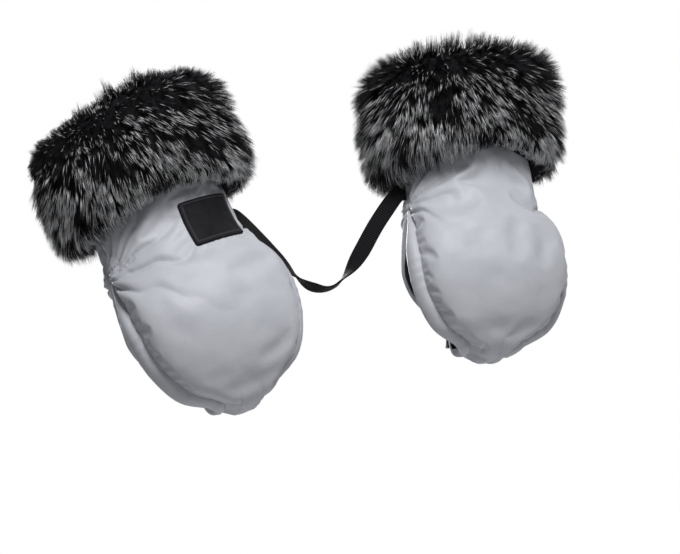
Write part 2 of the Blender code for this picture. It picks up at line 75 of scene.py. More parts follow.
def smooth_step(x):
    x = np.clip(x, 0, 1)
    return x * x * (3 - 2 * x)


def mitt_to_world(points, hand):
    """Points (…, 3) of a mitt in millimetres, as points of the object in metres."""
    nod = smooth_step((points[..., 2] - NOD_START) / NOD_RISE)
    points = points + nod[..., None] * np.array((CUFF_NODS[hand], 0, 0))
    matrix = np.array(Matrix.Rotation(SIDES[hand] * SPLAY, 3, "Y"))
    return (points @ matrix.T + np.array((SIDES[hand] * MITT_SPACING / 2, 0, 0))) * MM


print("the mitts lean", round(math.degrees(2 * SPLAY)), "degrees apart")

# %% [markdown]
# A sewn panel is known by its ribs, curves across it. A rib says how wide the panel is, where its
# edges and its middle lie, how round it is, how thick the filling is in the middle and at the edges,
# and how wide the edge strip is. A smooth curve through the ribs gives the face at any place. Cloth
# modelled by hand would leave it unclear where the solid's wall lies.

# %% The ribs of a mitt's panels
# half width, edge v, edge w, middle v, middle w, roundness, filling, filling at the edge, strip
FRONT_RIBS = np.array((
    (27, 16.5, -46, 16.5, -46, 0, 1.2, 1.2, 5),
    (27, 16.5, -67.5, 16.5, -67.5, 0, 1.2, 1.2, 5),
    (27, 10.61, -78.11, 11.67, -79.17, 0, 4, 4, 7.5),
    (27, 0, -81, 0, -84, 0, 8, 8, 7.5),
    (34.32, -6.99, -78.42, -22.22, -78.42, 0, 8, 8, 15),
    (52.91, -12.01, -66.19, -38.17, -66.19, 0.45, 8, 8, 15),
    (67.14, -16.17, -46.97, -51.4, -46.97, 0.75, 8, 8, 15),
    (75.26, -18.65, -24.56, -59.29, -24.56, 0.95, 8, 8, 15),
    (78, -19.5, 0, -62, 0, 1, 8, 8, 15),
    (75.72, -17.33, 18, -59.6, 18, 1, 8, 8, 11.67),
    (69.99, -10.83, 36, -53.56, 36, 1, 8, 8, 8.33),
    (63.54, -0.35, 54, -46.78, 54, 1, 8, 8, 5),
    (60.21, -0.35, 67, -43.28, 67, 1, 8, 8, 0),
    (59, -0.35, 80, -42, 80, 1, 8, 8, 0),
    (59, -0.35, 132, -42, 132, 1, 8, 8, 0),
    (59, -0.35, 184, -42, 184, 1, 8, 8, 0),
), float)
BACK_RIBS = np.array((
    (59, 0.35, 184, 42, 184, 1, 8, 8, 0),
    (59, 0.35, 132, 42, 132, 1, 8, 8, 0),
    (59, 0.35, 80, 42, 80, 1, 8, 8, 0),
    (60.21, 0.35, 67, 42, 67, 1, 8, 8, 0),
    (63.54, 0.35, 54, 42, 54, 1, 8, 8, 5),
    (63.36, 13.28, 36, 40.33, 36, 0.7, 8, 4.67, 6.67),
    (63.18, 21.24, 18, 38.67, 18, 0.3, 8, 2.67, 8.33),
    (63, 23.9, 0, 37, 0, 0, 8, 2, 10),
    (56.12, 23.9, -20, 35, -20, 0, 6.91, 2, 10),
    (40.78, 23.9, -37.5, 29.97, -37.5, 0, 4.17, 2, 10),
    (27, 24.5, -50, 24.5, -50, 0, 1.2, 1.2, 5),
    (27, 24.5, -66, 24.5, -66, 0, 1.2, 1.2, 5),
), float)
FILLING, EDGE_FILLING, STRIP = 6, 7, 8
# the ribs between which each panel's slits run, and the slit's top in the mitt's frame
FRONT_SLIT = (0, 11)
BACK_SLIT = (4, 11)
SLIT_SIDE, SLIT_TOP = 63, 54
# the filling where it is full, the cloth, the air behind the cloth and a strip at its narrowest
FULL = 8
SHEET = 0.9
GAP = 0.3
NARROWEST = 3


def between(rows, t):
    """The row at each t, a row number or between two, on a smooth curve through all the rows."""
    last = len(rows) - 1
    t = np.clip(t, 0, last)
    i = np.minimum(t.astype(int), last - 1)
    f = (t - i)[..., None]
    a, b, c, d = rows[np.maximum(i - 1, 0)], rows[i], rows[i + 1], rows[np.minimum(i + 2, last)]
    return (2 * b + (c - a) * f + (2 * a - 5 * b + 4 * c - d) * f**2 + (3 * b - a - 3 * c + d) * f**3) / 2


def face(ribs, s, t):
    """The panel's face at s, -1 to 1 across, and t, the rib number."""
    half, edge_v, edge_w, middle_v, middle_w, roundness = np.moveaxis(between(ribs, t)[..., :6], -1, 0)
    across = (1 - roundness) * s + roundness * np.sin(np.pi / 2 * s)
    rise = (1 - roundness) * (1 - s * s) + roundness * np.cos(np.pi / 2 * s)
    v = edge_v + (middle_v - edge_v) * rise
    w = edge_w + (middle_w - edge_w) * rise
    return np.stack((half * across, v, w), -1)


def face_normal(ribs, s, t):
    last = len(ribs) - 1
    along = face(ribs, s, np.minimum(t + 0.02, last)) - face(ribs, s, np.maximum(t - 0.02, 0))
    across = face(ribs, s + 0.01, t) - face(ribs, s - 0.01, t)
    return unit(np.cross(across, along))


def unit(vectors):
    return vectors / np.linalg.norm(vectors, axis=-1, keepdims=True)


def edge_speed(ribs, t):
    """Millimetres of cloth for each unit of s, at the panel's edge."""
    one = np.ones_like(t)
    return np.linalg.norm(face(ribs, one, t) - face(ribs, one * 0.99, t), axis=-1) / 0.01


def running_length(points):
    """Millimetres walked along a curve up to each of its points."""
    return np.concatenate(((0,), np.cumsum(np.linalg.norm(np.diff(points, axis=0), axis=-1))))


def even_ribs(ribs, low, high, share):
    """The rib numbers that lie at equal shares of the way along the panel's middle."""
    t = np.linspace(low, high, 600)
    way = running_length(face(ribs, t * 0, t))
    return np.interp(share * way[-1], way, t)


def way_along(ribs, t):
    """Millimetres walked along the panel's edge up to each rib number."""
    steps = np.linspace(0, len(ribs) - 1, 900)
    return np.interp(t, steps, running_length(face(ribs, np.ones(900), steps)))


def filling_at(rib, s):
    """How thick the filling is: it thins towards the panel's edges."""
    return rib[:, EDGE_FILLING] + (rib[:, FILLING] - rib[:, EDGE_FILLING]) * (1 - s**4)


front_way = running_length(face(FRONT_RIBS, np.zeros(600), np.linspace(0, len(FRONT_RIBS) - 1, 600)))
print("front length", round(float(front_way[-1])), "mm")

# %% [markdown]
# Three kinds of fold show on this cloth. Creases fan out from each slit's top, where three panels
# meet and the filling is pinched. Small puckers cross every seam, because the thread draws the cloth
# up. And the face rolls gently where the filling has settled. Each is a movement along the face's
# normal, worked out from the place, so that it can be aimed at what the photograph shows.

# %% Folds as movements of the face
def rolling(points, size, seed):
    """Soft noise of about -1 to 1 whose hills are size millimetres apart."""
    offset = Vector((seed * 17.3, seed * 5.1, seed * 9.7))
    values = [noise.noise(Vector(p) / size + offset) for p in points.reshape(-1, 3)]
    return np.array(values).reshape(points.shape[:-1]) * 1.6


def fan(points, side, folds, seed):
    """Creases that spread from the slit's top on one side: (heading, length, depth, width, bend)."""
    inward = np.hypot(SLIT_SIDE - side * points[..., 0], points[..., 1])
    rise = points[..., 2] - SLIT_TOP
    reach = np.hypot(inward, rise)
    heading = np.degrees(np.arctan2(rise, inward)) + 4 * rolling(points, 22, seed)
    moved = np.zeros(reach.shape)
    for aim, length, depth, width, bend in folds:
        off = (heading - aim - bend * reach / 40) / width
        fade = smooth_step(reach / 4) * np.exp(-((reach / length) ** 2))
        ridges = np.exp(-((off - 1.6) ** 2) / 1.2) + np.exp(-((off + 1.6) ** 2) / 1.2)
        moved += depth * fade * (0.5 * ridges - np.exp(-1.5 * np.abs(off)))
    return moved


FANS = {
    "left": {
        -1: ((52, 50, 3.0, 4, 8), (32, 58, 3.0, 3.6, 4), (13, 62, 3.2, 3.4, 1), (-4, 74, 3.6, 4, -2),
             (-22, 66, 3.4, 4, -5), (-42, 40, 2.4, 5, -4)),
        1: ((34, 36, 2.8, 6, 6), (6, 34, 3.0, 6, -6), (-30, 30, 2.4, 7, -8)),
    },
    "right": {
        -1: ((46, 50, 3.2, 4.5, 8), (26, 46, 2.6, 4, 2), (6, 40, 2.4, 4.5, 0), (-18, 56, 3.4, 4.2, -8),
             (-38, 42, 2.4, 5, -8), (-60, 24, 1.6, 7, 0)),
        1: ((28, 38, 3.6, 6, 6), (0, 36, 3.4, 6, -6), (-32, 42, 3.0, 6, -10)),
    },
}
BOTTOM_PUCKERS = {"left": (-12, 8), "right": (-14, 2)}
PATCH = {"u": 25, "w": 69, "wide": 50, "tall": 43}


def from_patch(u, w):
    """How far a place is from the patch's middle, 1 at its edge."""
    sideways = np.abs(u - PATCH["u"]) / (PATCH["wide"] / 2)
    return np.maximum(sideways, np.abs(w - PATCH["w"]) / (PATCH["tall"] / 2))


def gathers(way, edge_distance, deep, reach):
    """Small puckers along a seam, which the thread draws up; they die out within reach of it."""
    gathered = 0.5 + 0.5 * np.sin(way / 2.1 + 2 * np.sin(way / 9))
    return deep * gathered * np.exp(-edge_distance / reach)


def pillow(edge_distance, filling):
    """The filling stands proud of the seams: the face sinks to its edge and swells beside it."""
    sunk = 3.4 * np.exp(-((edge_distance / 4.2) ** 1.3))
    return filling / FULL * (1.6 * np.exp(-(((edge_distance - 15) / 10) ** 2)) - sunk)


def rounded_bottom(points):
    """Draws in and lifts the corners where the front turns under the fingers."""
    u, v, w = np.moveaxis(points, -1, 0)
    share = smooth_step((-w - 56) / 26) * smooth_step((15 - v) / 9)
    corner = np.minimum(np.abs(u) / 30, 1.2) ** 2
    return np.stack((u * (1 - 0.05 * share * corner), v, w + 3.0 * share * corner), -1)


def front_folds(points, hand, edge_distance, way):
    """How far each point of a front panel moves out along its normal."""
    u, v, w = np.moveaxis(points, -1, 0)
    seed = 1 if hand == "left" else 2
    moved = 0.8 * rolling(points, 42, seed) + 0.3 * rolling(points, 15, seed + 4)
    for side, folds in FANS[hand].items():
        moved += fan(points, side, folds, seed)
    moved -= gathers(way, edge_distance, 0.45, 6)
    for place in BOTTOM_PUCKERS[hand]:
        moved -= 1.6 * np.exp(-(((u - place) / 1.8) ** 2)) * np.exp(-(((w + 82) / 10) ** 2)) * (v < 2)
    if hand == "left":
        moved *= np.where(v < 0, smooth_step((from_patch(u, w) - 1) / 0.35), 1)
    hem = smooth_step((w + 79) / 6) + (v < 2)
    return moved * np.minimum(hem, 1)


def back_folds(points, hand, edge_distance, way):
    """The same for a back panel and its flap, which also creases across at the fold."""
    u, v, w = np.moveaxis(points, -1, 0)
    seed = 7 if hand == "left" else 8
    moved = 1.4 * rolling(points, 40, seed) + 0.4 * rolling(points, 14, seed + 4)
    for side in (-1, 1):
        moved += 0.8 * fan(points * np.array((1, -1, 1)), side, FANS[hand][side], seed)
    moved -= 1.6 * np.exp(-(((w - SLIT_TOP - 3 * rolling(points, 30, seed + 9)) / 3.2) ** 2))
    moved -= gathers(way, edge_distance, 0.4, 5)
    return moved * smooth_step((w + 52) / 14)


print("creases a mitt:", {hand: sum(map(len, fans.values())) for hand, fans in FANS.items()})

# %% [markdown]
# Cloth is made from a flat grid, the shape it had on the cutting table, whose points are carried to
# the panel. A padded panel is the same grid extruded once, a closed body with an outer cloth and an
# inner face. The grid's own length and width, in metres, are its UV map, and the weave follows them.

# %% Grids for cloth
def cloth_grid(columns, rows, thick):
    """A grid from -1 to 1 across and 0 to 1 along; thick gives it a second layer at z = -1."""
    bm = bmesh.new()
    bmesh.ops.create_grid(bm, x_segments=columns, y_segments=rows, size=1)
    if thick:
        below = bmesh.ops.extrude_face_region(bm, geom=bm.faces[:], use_keep_orig=True)["geom"]
        for item in below:
            if isinstance(item, bmesh.types.BMVert):
                item.co.z = -1
    for vert in bm.verts:
        vert.co.y = (vert.co.y + 1) / 2
    return bm


def stand_in_scene(name, data):
    """An object that carries the data, in the scene."""
    thing = bpy.data.objects.new(name, data)
    bpy.context.scene.collection.objects.link(thing)
    return thing


def read_points(bm):
    return np.array([vert.co[:] for vert in bm.verts])


def piece_from(bm, name, points, cloth_places=None):
    """Moves the bmesh's vertices to points, in metres, and makes it a piece with a UV map in metres."""
    for vert, place in zip(bm.verts, points):
        vert.co = place
    if cloth_places is not None:
        layer = bm.loops.layers.uv.new("cloth")
        bm.verts.index_update()
        for surface in bm.faces:
            for loop in surface.loops:
                loop[layer].uv = cloth_places[loop.vert.index]
    bmesh.ops.recalc_face_normals(bm, faces=bm.faces[:])
    mesh = bpy.data.meshes.new(name)
    bm.to_mesh(mesh)
    bm.free()
    mesh.shade_smooth()
    return stand_in_scene(name, mesh)


print("grids for cloth are ready")

# %% [markdown]
# A point of the grid reaches the mitt in two steps. The ribs give its place on the face, clear of the
# strips along the slits. The folds and the swell beside the seams then say how far it moves out
# along the face's normal, and a fold never goes deeper than the filling.

# %% Where a panel's points lie
def panel_places(hand, ribs, slit, folds, flat):
    """Of each grid point: place on the face, way out, move along it, filling, seam distance, UV."""
    t = even_ribs(ribs, 0, len(ribs) - 1, flat[:, 1])
    speed = edge_speed(ribs, t)
    rib = between(ribs, t)
    in_slit = (t >= slit[0]) & (t <= slit[1])
    beyond = NARROWEST * np.clip(1 - np.abs(t - np.clip(t, *slit)), 0, 1)
    outer = 1 - np.where(in_slit, np.maximum(rib[:, STRIP], NARROWEST), beyond) / speed
    s = outer * (flat[:, 0] + 0.1 * np.sin(np.pi * flat[:, 0]))
    places = face(ribs, s, t)
    seam_distance = (outer - np.abs(s)) * speed
    way = way_along(ribs, t)
    swell = pillow(seam_distance, rib[:, EDGE_FILLING] * np.where(in_slit, 1, 0.6))
    filling = filling_at(rib, s)
    moved = np.maximum(folds(places, hand, seam_distance, way) + swell, -(filling + SHEET) * 0.8)
    uv = np.stack((s * speed * 0.8, way), -1) * MM
    return places, face_normal(ribs, s, t), moved, filling, seam_distance, uv


print("a panel's edge ends", NARROWEST, "mm short of its slit at least")

# %% [markdown]
# Filled cloth finds its own folds: it is cut a little larger than the shape that its filling takes and
# sewn down at its edges, so the spare cloth buckles. The same is done here. The outer cloth is let
# go a few hundredths longer each way than it starts, held where it is sewn, and a cloth simulation
# brings it to rest. The creases drawn before decide where it buckles first. The simulation runs on a
# coarser grid, and its movement is read smoothly between that grid's points.

# %% Let the cloth settle
GROWTH = 0.035
SETTLE_FRAMES = 20
SETTLE_SCALE = 10
SETTLE_CELLS = 2
MOST_OUT = 6
MOST_SIDEWAYS = 4
TINY = 1e-6
CLOTH = {
    "quality": 6, "mass": 0.3, "tension_stiffness": 15, "compression_stiffness": 15,
    "shear_stiffness": 5, "bending_stiffness": 2, "shrink_min": -GROWTH, "shrink_max": -GROWTH,
}


def held_share(places, hand, seam_distance, is_front):
    """How firmly each point is held: 1 at seams, in the cuff, at the studs and under the patch."""
    u, v, w = np.moveaxis(places, -1, 0)
    held = 1 - smooth_step((seam_distance - 1.5) / 3)
    held = np.maximum(held, smooth_step((w - 112) / 14))
    hem = smooth_step((v - 2) / 6) * (w < 0) if is_front else smooth_step((-w - 40) / 12)
    held = np.maximum(held, hem)
    if is_front and hand == "left":
        held = np.maximum(held, (1 - smooth_step((from_patch(u, w) - 1) / 0.15)) * (v < 0))
    return held


def rested_cloth(bm, points, held):
    """Where the bmesh's vertices, put at points in millimetres, come to rest as cloth."""
    sheet = piece_from(bm, "settling", points * MM * SETTLE_SCALE)
    group = sheet.vertex_groups.new(name="held")
    for index, share in enumerate(held):
        group.add([index], float(share), "REPLACE")
    cloth = sheet.modifiers.new("cloth", "CLOTH")
    cloth.point_cache.frame_start = 1
    cloth.point_cache.frame_end = SETTLE_FRAMES
    cloth.collision_settings.use_collision = False
    cloth.settings.vertex_group_mass = "held"
    cloth.settings.effector_weights.gravity = 0
    for key, value in CLOTH.items():
        setattr(cloth.settings, key, value)
    for frame_number in range(1, SETTLE_FRAMES + 1):
        bpy.context.scene.frame_set(frame_number)
    rested = sheet.evaluated_get(bpy.context.evaluated_depsgraph_get()).data
    settled = np.array([vert.co[:] for vert in rested.vertices]) / (MM * SETTLE_SCALE)
    bpy.data.objects.remove(sheet)
    bpy.context.scene.frame_set(1)
    return settled


def settling(hand, ribs, slit, folds, columns, rows):
    bm = cloth_grid(columns, rows, False)
    flat = read_points(bm)
    places, out, moved, filling, seam_distance, _ = panel_places(hand, ribs, slit, folds, flat)
    points = places + out * moved[:, None]
    held = held_share(places, hand, seam_distance, ribs is FRONT_RIBS)
    move = rested_cloth(bm, points, held) - points
    along = (move * out).sum(1)
    sideways = move - out * along[:, None]
    size = np.maximum(np.linalg.norm(sideways, axis=1), TINY)
    sideways *= (MOST_SIDEWAYS * np.tanh(size / MOST_SIDEWAYS) / size)[:, None]
    inward = np.maximum((filling + SHEET) * 0.6, TINY)
    along = np.where(along > 0, MOST_OUT * np.tanh(along / MOST_OUT), -inward * np.tanh(-along / inward))
    order = np.lexsort((flat[:, 0].round(5), flat[:, 1].round(5)))
    return (sideways + out * along[:, None])[order].reshape(rows + 1, columns + 1, 3)


def finer(grid, flat, columns, rows):
    """The grid's values at the flat points of a finer grid."""
    rows_read = between(grid.reshape(len(grid), -1), np.linspace(0, len(grid) - 1, rows + 1))
    turned = rows_read.reshape(rows + 1, -1, 3).swapaxes(0, 1)
    fine = between(turned.reshape(len(turned), -1), np.linspace(0, len(turned) - 1, columns + 1))
    fine = fine.reshape(columns + 1, rows + 1, 3)
    column = np.rint((flat[:, 0] + 1) / 2 * columns).astype(int)
    row = np.rint(flat[:, 1] * rows).astype(int)
    return fine[column, row]


print(f"spare cloth: {GROWTH:.1%} each way, settled over {SETTLE_FRAMES} frames")

# %% [markdown]
# Three kinds of piece come from such grids. A padded panel is a closed body, from its outer cloth to
# the inner face of its filling. A lining is one knitted sheet behind it. An edge strip is a narrow
# cloth that swells over the filling, rolls round its corner and ends at the lining. Only the panels
# are settled: the strips are too narrow to buckle, and the linings lie behind the filling.

# %% Padded panels, linings and edge strips
STRIP_CORNER = 4.5


def thickened(piece, thickness):
    """Gives a sheet its thickness, half to each side."""
    wall = piece.modifiers.new("cloth", "SOLIDIFY")
    wall.thickness = thickness * MM
    wall.offset = 0
    return piece


def panel_piece(bm, name, hand, ribs, points, uv):
    if ribs is FRONT_RIBS:
        points = rounded_bottom(points)
    return piece_from(bm, name, mitt_to_world(points, hand), uv)


def padded_panel(name, hand, ribs, slit, folds, columns, rows):
    """A filled panel that ends at its edge strips, or at the side seam where it has none."""
    bm = cloth_grid(columns, rows, True)
    flat = read_points(bm)
    places, out, moved, filling, _, uv = panel_places(hand, ribs, slit, folds, flat)
    top = flat[:, 2] > -0.5
    points = places + out * np.where(top, moved, -SHEET - GAP - filling)[:, None]
    move = settling(hand, ribs, slit, folds, columns // SETTLE_CELLS, rows // SETTLE_CELLS)
    points[top] += finer(move, flat[top], columns, rows)
    return panel_piece(bm, name, hand, ribs, points, uv)


def lining_sheet(name, hand, ribs, columns, rows):
    """The knitted lining, one sheet behind the filling."""
    bm = cloth_grid(columns, rows, False)
    flat = read_points(bm)
    t = even_ribs(ribs, 0, len(ribs) - 1, flat[:, 1])
    speed = edge_speed(ribs, t)
    s = flat[:, 0] * (1 - 1.2 / speed)
    places = face(ribs, s, t)
    ripple = 0.35 * rolling(places, 12, 3)
    depth = SHEET + 2 * GAP + filling_at(between(ribs, t), s) + 0.3 + np.abs(ripple)
    points = places - face_normal(ribs, s, t) * depth[:, None]
    uv = np.stack((s * speed, way_along(ribs, t)), -1) * MM
    return thickened(panel_piece(bm, name, hand, ribs, points, uv), 0.6)


def edge_strip(name, hand, ribs, slit, sign, columns, rows):
    """The narrow strip along a slit: over the edge of the filling and in to the lining."""
    bm = cloth_grid(columns, rows, False)
    flat = read_points(bm)
    t = even_ribs(ribs, slit[0], slit[1], flat[:, 1])
    rib = between(ribs, t)
    strip = np.maximum(rib[:, STRIP], NARROWEST) + 1
    wall = rib[:, EDGE_FILLING] + 2 * (SHEET + GAP)
    corner = np.minimum(STRIP_CORNER, wall / 2)
    on_face = strip - corner
    length = on_face + np.pi / 2 * corner + wall - corner
    walked = (flat[:, 0] + 1) / 2 * length
    turn = np.clip((walked - on_face) / corner, 0, np.pi / 2)
    inward = np.where(walked < on_face, strip - walked, corner * (1 - np.sin(turn)))
    depth = np.where(walked < on_face, 0, corner * (1 - np.cos(turn)))
    depth += np.maximum(walked - on_face - np.pi / 2 * corner, 0)
    way = way_along(ribs, t)
    share = walked / length
    swell = 0.7 * np.sin(np.pi * np.clip(walked / (on_face + corner * 1.5), 0, 1)) ** 0.7
    swell -= 5.2 * np.exp(-((walked / 2.8) ** 1.2))
    pleats = np.abs(np.sin(way / 4.2 + 1.6 * np.sin(way / 11) + walked / 14)) ** 0.6
    swell -= 1.5 * pleats * np.exp(-walked / 10)
    swell *= smooth_step((1 - share) / 0.3) * rib[:, EDGE_FILLING] / FULL
    s = 1 - inward / edge_speed(ribs, t)
    out = face_normal(ribs, s, t)
    points = face(ribs, s, t) - out * depth[:, None] + out * (swell * (1 - 0.4 * share))[:, None]
    points[:, 0] *= sign
    uv = np.stack((walked, way), -1) * MM
    return thickened(panel_piece(bm, name, hand, ribs, points, uv), 0.8)


print("a strip rolls round a corner of", STRIP_CORNER, "mm")

# %% [markdown]
# Every finish is worked out from noise, bands of thread and colour ramps. Such a finish needs no
# picture, has no seam and stays sharp at any distance. The helpers here build its nodes. The relief
# of a finish is a chain of bumps, each laid over the one before.

# %% Material helpers
def new_material(name, colour, roughness, metallic=0.0, specular=0.5):
    material = bpy.data.materials.new(name)
    material.use_nodes = True
    shader = material.node_tree.nodes["Principled BSDF"]
    values = {"Base Color": (*colour, 1), "Roughness": roughness, "Metallic": metallic,
              "Specular IOR Level": specular}
    for socket, value in values.items():
        shader.inputs[socket].default_value = value
    return material, material.node_tree, shader


def new_node(tree, kind, values={}, links={}):
    """A shader node, some of whose sockets are set to values and some fed by links."""
    node = tree.nodes.new("ShaderNode" + kind)
    for socket, value in values.items():
        node.inputs[socket].default_value = value
    for socket, source in links.items():
        tree.links.new(source, node.inputs[socket])
    return node


def places_on(tree):
    """Where a point is: "Object" in the room, "UV" on the cloth, both in metres."""
    return new_node(tree, "TexCoord").outputs


def cloudy(tree, place, scale, detail=3.0, roughness=0.5):
    values = {"Scale": scale, "Detail": detail, "Roughness": roughness}
    return new_node(tree, "TexNoise", values, {"Vector": place}).outputs["Fac"]


def threads(tree, place, across, period):
    """Bands of thread, period metres apart, across or along the cloth."""
    values = {"Scale": 0.314 / period, "Distortion": 0.6, "Detail": 1.0}
    wave = new_node(tree, "TexWave", values, {"Vector": place})
    wave.bands_direction = "X" if across else "Y"
    return wave.outputs["Fac"]


def attribute(tree, name):
    node = new_node(tree, "Attribute")
    node.attribute_name = name
    return node.outputs["Fac"]


def colour_ramp(tree, factor, *stops):
    """A colour for each value of factor, between stops of (place, colour)."""
    node = new_node(tree, "ValToRGB", links={"Fac": factor})
    elements = node.color_ramp.elements
    while len(elements) < len(stops):
        elements.new(0.5)
    for element, (place, colour) in zip(elements, stops):
        element.position = place
        element.color = (*colour, 1)
    return node.outputs["Color"]


def mixed(tree, factor, first, second):
    """From the colour of the socket first to the plain colour second."""
    mix = new_node(tree, "Mix")
    mix.data_type = "RGBA"
    tree.links.new(factor, mix.inputs["Factor"])
    tree.links.new(first, mix.inputs["A"])
    mix.inputs["B"].default_value = (*second, 1)
    return mix.outputs["Result"]


def math_node(tree, operation, first, second):
    node = new_node(tree, "Math", links={0: first, 1: second})
    node.operation = operation
    return node.outputs[0]


def finish_shader(tree, shader, colour, *bumps):
    """Gives the shader a colour and a relief: bumps of (height, strength, distance)."""
    tree.links.new(colour, shader.inputs["Base Color"])
    links = {}
    for height, strength, distance in bumps:
        links["Height"] = height
        bump = new_node(tree, "Bump", {"Strength": strength, "Distance": distance}, links)
        links = {"Normal": bump.outputs["Normal"]}
    if links:
        tree.links.new(links["Normal"], shader.inputs["Normal"])


print("helpers for the finishes are ready")

# %% [markdown]
# The outer cloth is a close nylon weave with a faint sheen, a cool light grey. At arm's length the
# weave is too fine to see, but it breaks up the highlights, so it is in the relief as two sets of
# threads that cross. Faint clouds in the colour keep large faces from looking printed. The lining
# and the cuff's backing are brushed knits: ribs of loops under a soft nap.

# %% Materials of the mitts' cloth
shell_cloth, tree, shader = new_material("grey_nylon", (0.46, 0.47, 0.51), 0.46, specular=0.2)
shader.inputs["Sheen Weight"].default_value = 0.04
shader.inputs["Sheen Roughness"].default_value = 0.35
place = places_on(tree)
clouds = cloudy(tree, place["Object"], 38)
tint = colour_ramp(tree, clouds, (0.3, (0.44, 0.45, 0.49)), (0.7, (0.48, 0.49, 0.53)))
warp, weft = [threads(tree, place["UV"], across, 0.0007) for across in (True, False)]
weave = math_node(tree, "MULTIPLY", warp, weft)
wrinkles = cloudy(tree, place["Object"], 120, 4, 0.55)
finish_shader(tree, shader, tint, (weave, 0.25, 0.00012), (wrinkles, 0.35, 0.0007))


def knit(name, colour, period):
    material, tree, shader = new_material(name, colour, 0.92, specular=0.2)
    shader.inputs["Sheen Weight"].default_value = 0.2
    place = places_on(tree)
    nap = cloudy(tree, place["Object"], 900, 3, 0.7)
    dark, pale = [tuple(c * share for c in colour) for share in (0.6, 1.6)]
    loops = threads(tree, place["UV"], True, period)
    tint = colour_ramp(tree, nap, (0.35, dark), (0.7, pale))
    finish_shader(tree, shader, tint, (loops, 0.5, 0.0004), (nap, 0.6, 0.0006))
    return material


lining_cloth = knit("dark_knit_lining", (0.03, 0.03, 0.034), 0.0016)
backing_cloth = knit("pile_backing_knit", (0.04, 0.04, 0.043), 0.0012)
print("cloth materials:", shell_cloth.name, lining_cloth.name, backing_cloth.name)

# %% [markdown]
# A side of a mitt is a padded panel with its lining and two edge strips. The panel is a closed body
# with a crown, drawn in at its seams. The strips are separate cloth, sewn on along the slits. The
# front is what the eye rests on, so its grid is the finest. It rides on the mitt as a whole.

# %% Front panels, their strips and linings
def finish_piece(piece, material, slot, bodies, *nodes):
    """Finishes a piece, lets it ride on a body, or leaves it where it is made when given two, and says
    which nodes it replaces.
    """
    piece.data.materials.append(material)
    if isinstance(bodies, str):
        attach(piece, bodies)
    else:
        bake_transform(piece)
    if nodes:
        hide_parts(*nodes)
    return piece


def sewn_side(hand, part, panel, cells, strips, strip_cells, bodies, parts):
    """A panel, its lining and its strips; panel is the ribs, slit and folds, parts the solids' names."""
    ribs, slit, _ = panel
    padded = padded_panel(f"{hand}_{part}_padded", hand, *panel, *cells)
    shells = [f"{hand}_{word}_{layer}" for word in parts for layer in ("shell", "padding")]
    finish_piece(padded, shell_cloth, "shell_cloth", bodies, *shells)
    lining = lining_sheet(f"{hand}_{part}_lining_knit", hand, ribs, 60, 90)
    finish_piece(lining, lining_cloth, "lining_cloth", bodies, *(f"{hand}_{word}_lining" for word in parts))
    for word, sign in (("inner", -SIDES[hand]), ("outer", SIDES[hand])):
        strip = edge_strip(f"{hand}_{strips}_{word}_strip", hand, ribs, slit, sign, *strip_cells)
        finish_piece(strip, shell_cloth, "shell_cloth", bodies, f"{hand}_{strips}_{word}")
    print(hand, part + ":", len(padded.data.polygons), "faces")


FRONT = (FRONT_RIBS, FRONT_SLIT, front_folds)
for hand in SIDES:
    sewn_side(hand, "front", FRONT, (152, 228), "gusset", (18, 120), hand + "_mitt", ("front",))

# %% [markdown]
# The back is one padded panel, on the real mitt too, and bends where the flap folds up from the bar.
# So it isn't cut at the fold: its shape lies along the mitt above and the flap below, and turns in between.

# %% Back panels with their flaps
BACK = (BACK_RIBS, BACK_SLIT, back_folds)
FOLD_DEPTH, FOLD_BAND = 42, 13

for hand in SIDES:
    ends = np.array([(0, FOLD_DEPTH, SLIT_TOP + step) for step in (FOLD_BAND, -FOLD_BAND)])
    fold = (hand + "_mitt", hand + "_flap", *map(tuple, mitt_to_world(ends, hand)))
    sewn_side(hand, "back", BACK, (120, 160), "flap_hem", (16, 90), fold, ("back", "flap"))

# %% [markdown]
# The cuff is long-pile imitation fur on a knitted backing, turned down over the wrist. Under the
# hairs lies a dark roll that stops the eye from seeing through the pile; its near black is partly the
# dark roots and partly painted shade of the pile's depth. The roll is spun round the wrist from the
# outline of the solid, drawn in by part of the hairs' length. The crown slumps on its left, more on
# the left mitt than on the right one, as in the photograph.

# %% The cuff's outline
CUFF_OUTLINE = np.array((
    (2.1, 102.3), (15.5, 96), (29.6, 102.3), (36.3, 119.1), (37, 148.5), (35.9, 174.8),
    (29.6, 192.6), (17, 199.9), (4.4, 201), (-5.2, 197.9), (-10.4, 192.7), (-10.4, 184.3),
), float)
WRIST = np.array((59.0, 42.0))
PILE_REACH = 33 / 37
SIDE_DROP = 11
CUFF_SLUMPS = {"left": 13, "right": 8}
CUFF_LOW, CUFF_WIDEST = 96, 148.5
SPIN_RADIUS = 100


def outline_at(p, inset):
    """The outline and its normal at p, a point number or between two, moved in by inset."""
    here = between(CUFF_OUTLINE, p)
    before, after = np.maximum(p - 0.1, 0), np.minimum(p + 0.1, len(CUFF_OUTLINE) - 1)
    along = unit(between(CUFF_OUTLINE, after) - between(CUFF_OUTLINE, before))
    normal = np.stack((along[..., 1], -along[..., 0]), -1)
    return here - normal * np.asarray(inset)[..., None], normal


